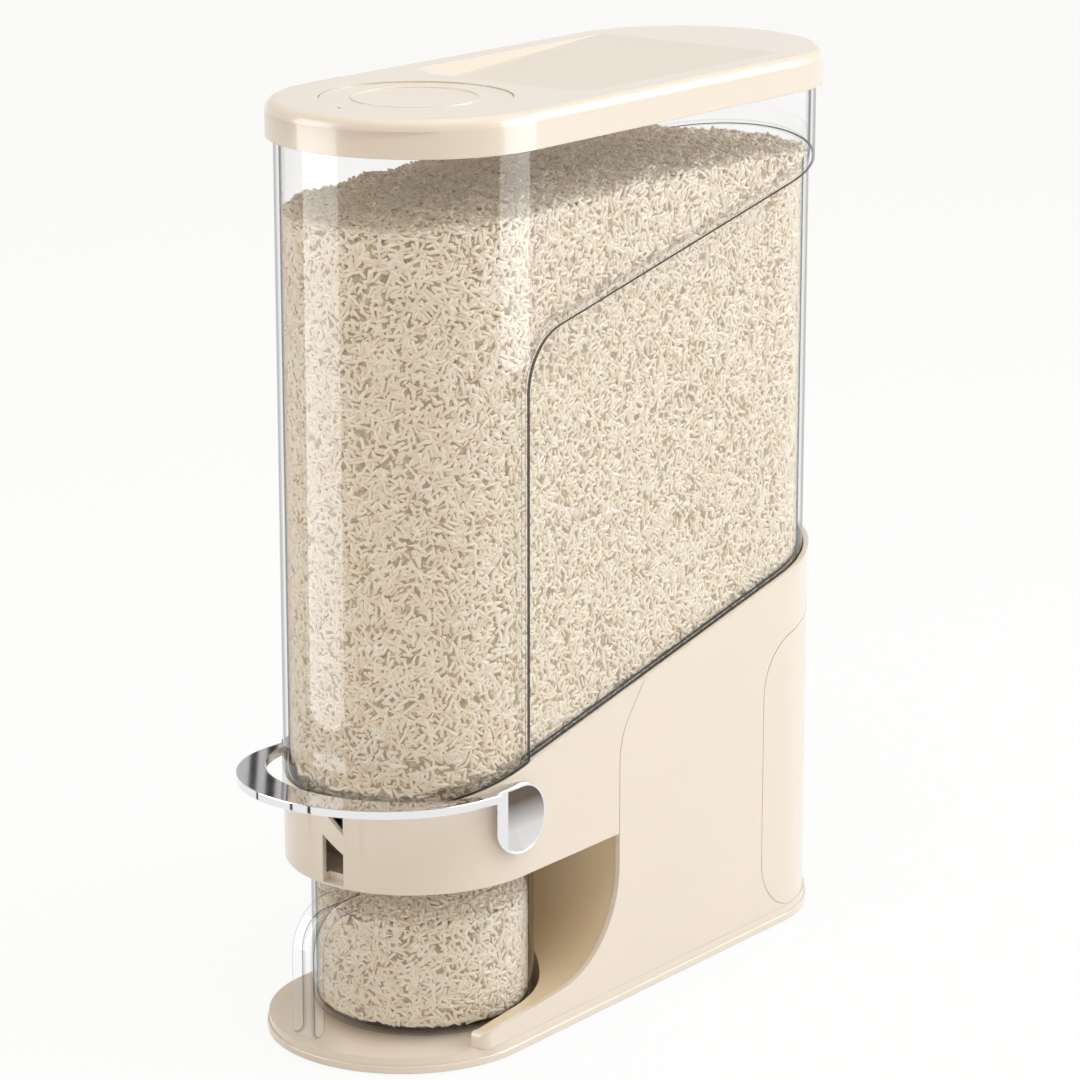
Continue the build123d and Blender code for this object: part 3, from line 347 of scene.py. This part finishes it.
def painted_step_lines(tree):
    """Where painted dark lines fall, from 0 to 1: shade standing in for the light bent at the tank's
    moulded step, and a painted shadow in the gap at its foot in the stand.
    """
    x, y, z = axes_of(tree, own_place(tree))
    middle = maths(tree, "MINIMUM", maths(tree, "MAXIMUM", y, front_axis_y), rear_axis_y)
    behind = maths(tree, "SUBTRACT", y, middle)
    squares = maths(tree, "ADD", maths(tree, "MULTIPLY", x, x), maths(tree, "MULTIPLY", behind, behind))
    reach = maths(tree, "SQRT", squares)
    # Painted shade standing in for the light bent at the moulded step
    outer_edge, inner_edge = (dark_band(tree, reach, hopper_rad - depth, half_width, darkness)
                              for depth, half_width, darkness in (STEP_OUTER_BAND, STEP_INNER_BAND))
    climb = maths(tree, "MULTIPLY", maths(tree, "SUBTRACT", y, front_axis_y), STAND_SLOPE)
    level = maths(tree, "SUBTRACT", z, climb)
    behind_front = maths(tree, "GREATER_THAN", y, front_axis_y)
    # Painted shadow in the gap where the tank stands in the stand's edge
    foot = dark_band(tree, level, STAND_EDGE + FOOT_BAND, FOOT_BAND, behind_front)
    return maths(tree, "MAXIMUM", maths(tree, "MAXIMUM", outer_edge, foot), inner_edge)


def painted_handle_lines(tree):
    """Painted dark lines along the handle's rounded edges, shade standing in for the light the clear bar
    bends, from 0 to 1.
    """
    surface = add_node(tree, "ShaderNodeNewGeometry")
    sideways = maths(tree, "ABSOLUTE", axes_of(tree, surface.outputs["Normal"])["X"])
    bands = [dark_band(tree, sideways, *band) for band in (HANDLE_ROUND, HANDLE_LINE)]
    y = axes_of(tree, own_place(tree))["Y"]
    past_wall = maths(tree, "LESS_THAN", y, front_axis_y - cup_rad - HANDLE_GAP)
    return maths(tree, "MULTIPLY", maths(tree, "ADD", *bands), past_wall)


def clear_wall(name, steps, lines):
    """Thin clear moulding: light goes straight through, toned by the surface's angle and dark lines, both
    painted shade standing in for the light the wall bends.
    """
    material, tree = new_material(name)
    facing = add_node(tree, "ShaderNodeLayerWeight", Blend=0.5)
    # Painted shade: the dark lines and the angle tint stand in for light bent in the wall
    darker = add_node(tree, "ShaderNodeMixRGB", Color2=PAINTED_LINE_COLOUR)
    tree.links.new(lines(tree), darker.inputs["Fac"])
    tree.links.new(colour_steps(tree, facing.outputs["Facing"], *steps), darker.inputs["Color1"])
    through = add_node(tree, "ShaderNodeBsdfTransparent")
    tree.links.new(darker.outputs["Color"], through.inputs["Color"])
    gloss = add_node(tree, "ShaderNodeBsdfGlossy", Color=WHITE, Roughness=WALL_GLOSS_ROUGHNESS)
    glance = add_node(tree, "ShaderNodeFresnel", IOR=PLASTIC_IOR)
    side = add_node(tree, "ShaderNodeNewGeometry")
    entering = maths(tree, "SUBTRACT", 1, side.outputs["Backfacing"])
    mirrored = maths(tree, "MULTIPLY", glance.outputs["Fac"], entering)
    close_material(tree, mixed(tree, mirrored, through, gloss))
    return material


# What each node is made of

def ear_satin():
    """The ears' satin metal, darker towards the top of the plate, a painted reflection of dark
    surroundings.
    """
    low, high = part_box("ear_plate_right")
    shade_from, shade_to = (low.z + share * (high.z - low.z) for share in (0.3, 0.85))
    # The dark top colour is a painted reflection, not the metal's own colour
    return satin_metal("ear_satin", (0.65, 0.64, 0.63), roughness=0.3, painted_reflection_colour=(0.13, 0.1, 0.08),
                       shade_from=shade_from, shade_to=shade_to)


def tank_clear():
    """The hopper's clear wall, with its tint from where it is faced square on, 0, to edge on, 1; the dark
    band near edge on is painted shade standing in for the light bent at its silhouette.
    """
    steps = ((0.7, (0.996, 0.997, 0.998)), (0.78, (0.86, 0.86, 0.86)), (0.85, (0.42, 0.42, 0.43)),
             (0.89, (0.24, 0.24, 0.25)), (0.95, (0.6, 0.6, 0.6)))
    return clear_wall("tank_clear", steps, painted_step_lines)


def cup_clear():
    """The cup's clear wall and handle, with their tint from faced square on, 0, to edge on, 1; the dark
    band near edge on is painted shade standing in for the light bent at their edges.
    """
    steps = ((0.55, (0.99, 0.992, 0.995)), (0.74, (0.86, 0.86, 0.87)), (0.83, (0.5, 0.5, 0.51)),
             (0.89, (0.28, 0.28, 0.29)), (0.95, (0.6, 0.6, 0.6)))
    return clear_wall("cup_clear", steps, painted_handle_lines)


finished_nodes = (
    (moulded_plastic("cream_gloss", (0.8, 0.712, 0.612), roughness=0.3),
     ("base_plate", "stand_column", "rear_cover", "dispensing_head", "lid_shell", "freshness_cap")),
    # The same cream, darker and warmer: painted shade for the shadowed cup bay and the parts inside
    (moulded_plastic("cream_shaded_inner", (0.75, 0.61, 0.42), roughness=0.38),
     ("cup_bay_liner", "hopper_cradle", "outlet_chute", "gate_yoke")),
    (moulded_plastic("tray_white", (0.82, 0.8, 0.76), roughness=0.45), ("desiccant_tray",)),
    (moulded_plastic("bush_white", (0.8, 0.8, 0.74), roughness=0.45), ("pivot_bushes",)),
    (polished_metal("ring_plating", (0.82, 0.82, 0.83), roughness=0.04), ("press_ring",)),
    (ear_satin(), ("ear_plate_left", "ear_plate_right")),
    (satin_metal("plain_steel", (0.56, 0.56, 0.57), roughness=0.32),
     ("base_screws", "cover_screws", "head_screws", "return_springs", "pivot_pins")),
    (soft_rubber("clear_silicone", (0.82, 0.81, 0.78), roughness=0.45),
     ("chute_gasket", "lid_gasket", "cap_seal")),
    (soft_rubber("foot_rubber", (0.5, 0.46, 0.42), roughness=0.7), ("rubber_feet",)),
    (paper_pack("pack_paper"), ("desiccant_pack",)),
    (tank_clear(), ("hopper_tank",)),
    (cup_clear(), ("measuring_cup",)),
)
for finish, names in finished_nodes:
    for name in names:
        mesh = nodes[name].data
        mesh.materials.clear()
        mesh.materials.append(finish)


# Loose rice

# The grains' sizes in millimetres: middle, spread, least and most
GRAIN_LENGTH = (6.3, 0.5, 5.2, 7.4)
GRAIN_WIDTH = (2.05, 0.13, 1.75, 2.35)

# The grains' tones, and the share of the grains that each one has
RICE_TONES = (
    ("pale", (0.94, 0.87, 0.755), 0.3),
    ("cream", (0.92, 0.83, 0.7), 0.3),
    ("straw", (0.89, 0.785, 0.635), 0.16),
    ("milk", (0.95, 0.9, 0.81), 0.14),
    ("sand", (0.85, 0.735, 0.575), 0.1),
)
rice_tones = [rice_tone(f"rice_{word}", colour) for word, colour, share in RICE_TONES]
tone_shares = [share for word, colour, share in RICE_TONES]
# Both tones are well below the loose grains': painted shade for the crevices between them
packed_rice = grain_bed("grain_bed", (0.42, 0.33, 0.22), (0.64, 0.53, 0.39))

# One grain: the push of its rings towards its ends, the reach past which a point is an end,
# the bow at its ends, and its breadth over its thickness
RING_PUSH = 1.4
END_REACH = 0.4
GRAIN_BOW = 0.11
GRAIN_BREADTH = 1.15

# How far a face's normal points up: the heap's underside is below the first, its top above the second
UNDERSIDE_NORMAL = -0.9
TOP_NORMAL = 0.6

# Spreading: points tried for each grain wanted, and the share of a grain's patch that stays clear
SQUARE_MM_PER_SQUARE_M = 1e6
TRIES = 3.2
CLEAR_SHARE = 0.7

# Lying: tilts out of the heap's surface in radians, and depths under it in millimetres; at the
# sides the depth starts at the grain's own room, and the power keeps most grains near the wall
TOP_TILT = 0.3
SIDE_TILT = 0.1
MOST_SIDE_TILT = 0.22
TOP_DEPTH = (-0.9, 1.2)
SIDE_DEPTH = 1.5
SIDE_DEPTH_POWER = 1.4

# Room: clearances from the walls, the share of a grain's length from its middle to where its end
# is tested, and how far the end may stand out of the heap's top and sides
TOP_CLEARANCE = 0.9 * MM
SIDE_CLEARANCE = 0.2 * MM
NEAR_END = 0.46
TOP_PROUD = 1.6 * MM
SIDE_PROUD = -0.15 * MM

# Most faces in one piece of loose grains
MOST_FACES = 190000

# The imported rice: how deep it lies under the CAD heap, and the most that a sharp corner is drawn
# in, as a multiple of that
BED_DEPTH = 1.3 * MM
MOST_SHELL_FACTOR = 1.5

MERGE_DISTANCE = 0.001 * MM


def merged_copy(name):
    """The merged mesh of a CAD node, as a bmesh."""
    shape = bmesh.new()
    shape.from_mesh(nodes[name].data)
    bmesh.ops.remove_doubles(shape, verts=shape.verts, dist=MERGE_DISTANCE)
    return shape


def grain_shape():
    """Points and faces of one grain of unit size: slim, closed, full to near its ends, a little bowed."""
    shape = bmesh.new()
    bmesh.ops.create_uvsphere(shape, u_segments=5, v_segments=3, radius=0.5)
    bmesh.ops.rotate(shape, verts=shape.verts, matrix=Matrix.Rotation(math.pi / 2, 3, "Y"))
    bmesh.ops.triangulate(shape, faces=shape.faces)
    for v in shape.verts:
        push = RING_PUSH if abs(v.co.x) < END_REACH else 1
        bow = GRAIN_BOW * (v.co.x * push * 2) ** 2
        v.co = Vector((v.co.x * push, v.co.y * GRAIN_BREADTH + bow, v.co.z))
    shape.verts.index_update()
    points = np.array([v.co for v in shape.verts])
    faces = np.array([[v.index for v in f.verts] for f in shape.faces])
    shape.free()
    return points, faces


def spread_points(rng, shape, per_square_mm):
    """Even random points on the heap, all but its underside, with each point's face normal."""
    faces = [f for f in shape.faces if f.normal.z > UNDERSIDE_NORMAL]
    corners = np.array([[v.co for v in f.verts] for f in faces])
    normals = np.array([f.normal for f in faces])
    first_side = corners[:, 1] - corners[:, 0]
    second_side = corners[:, 2] - corners[:, 0]
    areas = np.linalg.norm(np.cross(first_side, second_side), axis=1) / 2
    count = int(areas.sum() * SQUARE_MM_PER_SQUARE_M * per_square_mm * TRIES)
    picked = rng.choice(len(faces), count, p=areas / areas.sum())
    u, v = rng.random(count), rng.random(count)
    over = u + v > 1
    u[over], v[over] = 1 - u[over], 1 - v[over]
    points = corners[picked, 0] + u[:, None] * first_side[picked] + v[:, None] * second_side[picked]
    apart = math.sqrt(CLEAR_SHARE / per_square_mm) * MM
    tree = kdtree.KDTree(count)
    for i, point in enumerate(points):
        tree.insert(point, i)
    tree.balance()
    free = np.ones(count, bool)
    kept = []
    for i in range(count):
        if free[i]:
            kept.append(i)
            for _, j, _ in tree.find_range(points[i], apart):
                free[j] = False
    return points[kept], normals[picked][kept]


def drawn_sizes(rng, spread, count):
    """Random sizes in metres, from a middle, a spread, a least and a most in millimetres."""
    middle, deviation, least, most = spread
    return rng.normal(middle, deviation, count).clip(least, most) * MM


def unit(rows):
    """Each row as a vector of length 1."""
    return rows / np.linalg.norm(rows, axis=1)[:, None]


def turned(first, second, angle):
    """The first direction turned towards the second, row by row."""
    return first * np.cos(angle)[:, None] + second * np.sin(angle)[:, None]


def lay_grains(rng, points, normals):
    """Centres, axes and sizes of grains at the points, and which lie on the heap's top.

    Grains lie flat along the heap's sides, and a little tumbled on its top.
    """
    count = len(points)
    length = drawn_sizes(rng, GRAIN_LENGTH, count)
    width = drawn_sizes(rng, GRAIN_WIDTH, count)
    on_top = normals[:, 2] > TOP_NORMAL
    tilt = np.where(on_top, rng.normal(0, TOP_TILT, count),
                    rng.normal(0, SIDE_TILT, count).clip(-MOST_SIDE_TILT, MOST_SIDE_TILT))
    turn = rng.uniform(0, 2 * math.pi, count)
    roll = rng.uniform(0, 2 * math.pi, count)
    side = unit(np.cross(normals, rng.normal(size=(count, 3))))
    flat = turned(side, np.cross(normals, side), turn)
    along = turned(flat, normals, tilt)
    lift = unit(np.cross(np.cross(along, normals), along))
    broad = turned(np.cross(lift, along), lift, roll)
    thick = np.cross(along, broad)
    rise = np.abs(np.sin(tilt)) * length / 2
    depth = np.where(on_top, rng.uniform(*TOP_DEPTH, count) * MM,
                     width / 2 + rise + SIDE_DEPTH * rng.random(count) ** SIDE_DEPTH_POWER * MM)
    centres = points - normals * depth[:, None]
    return centres, np.stack([along, broad, thick], 1), np.stack([length, width, width], 1), on_top


def grains_with_room(heap, centres, along, length, on_top, wall_rad, rear_y):
    """Which grains stay inside the walls and, at the sides, keep their ends inside the heap."""
    room = np.ones(len(centres), bool)
    for sign in (-1, 0, 1):
        spots = centres + along * (sign * length / 2)[:, None]
        middle = np.clip(spots[:, 1], front_axis_y, rear_y)
        reach = np.hypot(spots[:, 0], spots[:, 1] - middle)
        room &= reach < wall_rad - np.where(on_top, TOP_CLEARANCE, SIDE_CLEARANCE)
    for i in np.nonzero(room & ~on_top)[0]:
        for sign in (-1, 1):
            end = Vector(centres[i] + along[i] * sign * length[i] * NEAR_END)
            spot, normal, _, _ = heap.find_nearest(end)
            proud = TOP_PROUD if normal.z > TOP_NORMAL else SIDE_PROUD
            if (end - spot).dot(normal) > proud:
                room[i] = False
    return room


def grain_mesh(name, grain, centres, axes, sizes, tones):
    """One mesh of many grains, each sized, turned and placed, in its own tone."""
    grain_points, grain_faces = grain
    placed = np.einsum("nvk,nkc->nvc", grain_points[None] * sizes[:, None, :], axes) + centres[:, None, :]
    first_point = np.arange(len(centres)) * len(grain_points)
    faces = (grain_faces[None] + first_point[:, None, None]).reshape(-1, 3)
    mesh = bpy.data.meshes.new(name)
    mesh.vertices.add(placed.shape[0] * placed.shape[1])
    mesh.vertices.foreach_set("co", placed.reshape(-1))
    mesh.loops.add(faces.size)
    mesh.loops.foreach_set("vertex_index", faces.reshape(-1))
    mesh.polygons.add(len(faces))
    mesh.polygons.foreach_set("loop_start", np.arange(len(faces)) * 3)
    mesh.polygons.foreach_set("loop_total", np.full(len(faces), 3))
    mesh.polygons.foreach_set("use_smooth", np.ones(len(faces), bool))
    mesh.polygons.foreach_set("material_index", np.repeat(tones, len(grain_faces)))
    for finish in rice_tones:
        mesh.materials.append(finish)
    mesh.update(calc_edges=True)
    mesh.validate()
    return mesh


def scatter_grains(prefix, node, body, seed, per_square_mm, wall_rad, rear_y):
    """Grains laid over a CAD heap, in pieces from front to rear."""
    rng = np.random.default_rng(seed)
    shape = merged_copy(node)
    bmesh.ops.triangulate(shape, faces=shape.faces)
    shape.normal_update()
    heap = BVHTree.FromBMesh(shape)
    points, normals = spread_points(rng, shape, per_square_mm)
    shape.free()
    centres, axes, sizes, on_top = lay_grains(rng, points, normals)
    room = grains_with_room(heap, centres, axes[:, 0], sizes[:, 0], on_top, wall_rad, rear_y)
    chosen = np.nonzero(room)[0]
    order = chosen[np.argsort(centres[chosen, 1], kind="stable")]
    grain = grain_shape()
    most = MOST_FACES // len(grain[1])
    for part, first in enumerate(range(0, len(order), most)):
        ids = order[first:first + most]
        name = f"{prefix}_{part + 1}"
        tones = rng.choice(len(rice_tones), len(ids), p=tone_shares)
        piece = new_object(name, grain_mesh(name, grain, centres[ids], axes[ids], sizes[ids], tones))
        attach(piece, body)


def grain_core(name, node, body):
    """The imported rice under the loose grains: the CAD heap, drawn in a little."""
    shape = merged_copy(node)
    shape.normal_update()
    moves = [v.normal * (min(v.calc_shell_factor(), MOST_SHELL_FACTOR) * BED_DEPTH) for v in shape.verts]
    for v, move in zip(shape.verts, moves):
        v.co -= move
    mesh = bpy.data.meshes.new(name)
    shape.to_mesh(mesh)
    shape.free()
    mesh.materials.clear()
    mesh.materials.append(packed_rice)
    core = new_object(name, mesh)
    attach(core, body)
    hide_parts(node)


# Body, seed, grains on each square millimetre, and the rear axis of its walls
rice_heaps = (("hopper", 11, 0.4, rear_axis_y), ("cup", 12, 0.42, front_axis_y))
for body, seed, per_square_mm, rear_y in rice_heaps:
    node = f"rice_in_{body}"
    grain_core(f"{body}_grain_bed", node, body)
    scatter_grains(f"{body}_grains", node, body, seed, per_square_mm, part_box(node)[1].x, rear_y)


# Floor and world

FLOOR_RADIUS = 9
FLOOR_PAINT = (0.8, 0.8, 0.8, 1)
FLOOR_GLOW_SHARE = 0.9
FILL_STRENGTH = 0.65
FILL_COLOUR = (1.0, 0.87, 0.7, 1)


def seen_rays(tree, path):
    """Rays that show the background: straight from the camera, mirrored, or through glass."""
    mirrored = maths(tree, "MAXIMUM", path.outputs["Is Glossy Ray"], path.outputs["Is Transmission Ray"])
    return maths(tree, "MAXIMUM", path.outputs["Is Camera Ray"], mirrored)


def floor_white():
    """Pale paint that shows nearly white, and keeps a little of the object's shadow."""
    material, tree = new_material("floor_white")
    path = add_node(tree, "ShaderNodeLightPath")
    paint = add_node(tree, "ShaderNodeBsdfDiffuse", Color=FLOOR_PAINT)
    glow = add_node(tree, "ShaderNodeEmission", Color=WHITE, Strength=1.0)
    glowing = maths(tree, "MULTIPLY", seen_rays(tree, path), FLOOR_GLOW_SHARE)
    close_material(tree, mixed(tree, glowing, paint, glow))
    return material


def studio_floor():
    """A wide round floor under the object."""
    shape = bmesh.new()
    bmesh.ops.create_circle(shape, cap_ends=True, segments=96, radius=FLOOR_RADIUS)
    mesh = bpy.data.meshes.new("studio_floor")
    shape.to_mesh(mesh)
    shape.free()
    mesh.materials.append(floor_white())
    floor = new_object("studio_floor", mesh)


def studio_world():
    """White to the camera, falling to dark overhead in mirrors and glass, a warm fill for the rest."""
    world = bpy.data.worlds.new("studio_world")
    bpy.context.scene.world = world
    world.use_nodes = True
    tree = world.node_tree
    tree.nodes.clear()
    path = add_node(tree, "ShaderNodeLightPath")
    fill = add_node(tree, "ShaderNodeBackground", Color=FILL_COLOUR, Strength=FILL_STRENGTH)
    white = add_node(tree, "ShaderNodeBackground", Color=WHITE, Strength=1.0)
    backdrop = add_node(tree, "ShaderNodeBackground", Strength=1.0)
    direction = add_node(tree, "ShaderNodeTexCoord").outputs["Generated"]
    falloff = colour_steps(tree, axes_of(tree, direction)["Z"],
                           (0.03, (1, 1, 1)), (0.22, (0.56, 0.55, 0.54)),
                           (0.5, (0.46, 0.45, 0.44)), (0.85, (0.15, 0.15, 0.15)))
    tree.links.new(falloff, backdrop.inputs["Color"])
    mirrored = mixed(tree, seen_rays(tree, path), fill, backdrop)
    seen = mixed(tree, path.outputs["Is Camera Ray"], mirrored, white)
    output = add_node(tree, "ShaderNodeOutputWorld")
    tree.links.new(seen.outputs[0], output.inputs["Surface"])


# Dark cards that mark the ring

FLOOR_CARD_AZIMUTHS = (-73, -31, -14)
FLOOR_CARD_WIDTH = 0.022
FLOOR_CARD_LENGTH = 1.2
FLOOR_CARD_START = 0.25
FLOOR_CARD_LIFT = 0.002

# Where each back card stands across the view, and its width
BACK_CARDS = ((-0.24, 0.008), (-0.222, 0.01))
BACK_CARD_HEIGHT = 0.7
BACK_CARD_DISTANCE = 2


def card_black():
    """Matt black for the cards."""
    material, tree = new_material("card_black")
    close_material(tree, principled(tree, (0.01, 0.01, 0.01), roughness=0.9))
    return material


def dark_card(name, width, length, place, turn, paint):
    """A card that only mirrors show: made flat and long in +Y, then turned and placed."""
    shape = bmesh.new()
    bmesh.ops.create_grid(shape, x_segments=1, y_segments=1, size=0.5)
    bmesh.ops.scale(shape, vec=(width, length, 1), verts=shape.verts)
    bmesh.ops.translate(shape, vec=(0, length / 2, 0), verts=shape.verts)
    bmesh.ops.transform(shape, matrix=Matrix.Translation(place) @ turn, verts=shape.verts)
    mesh = bpy.data.meshes.new(name)
    shape.to_mesh(mesh)
    shape.free()
    mesh.materials.append(paint)
    card = new_object(name, mesh)
    card.visible_camera = False
    card.visible_diffuse = False
    card.visible_shadow = False
    card.visible_transmission = False


def floor_cards(paint):
    """Cards on the floor, each pointing away from where the ring's rim mirrors it to the view."""
    centre = Vector((0, front_axis_y, 0))
    ring_reach = front_axis_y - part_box("press_ring")[0].y
    for number, azimuth in enumerate(FLOOR_CARD_AZIMUTHS):
        facing = math.radians((azimuth + VIEW_AZIMUTH) / 2)
        rim = centre + Vector((math.sin(facing), -math.cos(facing), 0)) * ring_reach
        turn = Matrix.Rotation(math.radians(azimuth) + math.pi, 4, "Z")
        away = turn @ Vector((0, FLOOR_CARD_START, 0))
        place = rim + away + Vector((0, 0, FLOOR_CARD_LIFT))
        dark_card(f"floor_card_{number + 1}", FLOOR_CARD_WIDTH, FLOOR_CARD_LENGTH, place, turn, paint)


def back_cards(paint):
    """Cards stood behind the object, for the flat top of the ring."""
    view = math.radians(VIEW_AZIMUTH)
    side = Vector((math.cos(view), math.sin(view), 0))
    behind = Vector((-math.sin(view), math.cos(view), 0))
    turn = Matrix.Rotation(view, 4, "Z") @ Matrix.Rotation(math.pi / 2, 4, "X")
    for number, (across, width) in enumerate(BACK_CARDS):
        place = behind * BACK_CARD_DISTANCE + side * across
        dark_card(f"back_card_{number + 1}", width, BACK_CARD_HEIGHT, place, turn, paint)


# Lamps

OBJECT_MIDDLE = (0, 0, 0.22)


def softbox(name, azimuth, elevation, distance, width, height, power, colour,
            aim=OBJECT_MIDDLE, reflection_only=False, mirrored=True):
    """Area lamp at a compass angle round its aim, which the camera doesn't see."""
    lamp = bpy.data.lights.new(name, "AREA")
    lamp.shape = "RECTANGLE"
    lamp.size = width
    lamp.size_y = height
    lamp.energy = power
    lamp.color = colour
    box = new_object(name, lamp)
    stand_off(box, aim, distance, azimuth, elevation)
    box.visible_camera = False
    box.visible_diffuse = not reflection_only
    box.visible_glossy = mirrored


studio_floor()
studio_world()
ring_paint = card_black()
floor_cards(ring_paint)
back_cards(ring_paint)
softbox("back_right", azimuth=135, elevation=25, distance=2.2, width=1.6, height=1.6, power=25,
        colour=(0.84, 0.92, 1.0))
softbox("overhead", azimuth=40, elevation=78, distance=2.0, width=1.6, height=1.6, power=26,
        colour=(0.88, 0.94, 1.0), mirrored=False)
softbox("left_strip", azimuth=-41, elevation=0, distance=0.55, width=0.36, height=1.1, power=4.6,
        colour=(0.94, 0.97, 1.0), aim=(0, front_axis_y, 0.2), reflection_only=True)
softbox("side_window", azimuth=123.5, elevation=0, distance=1.2, width=0.66, height=1.08, power=7,
        colour=(0.97, 0.97, 1.0), aim=(0.05, front_axis_y, 0.6), reflection_only=True)
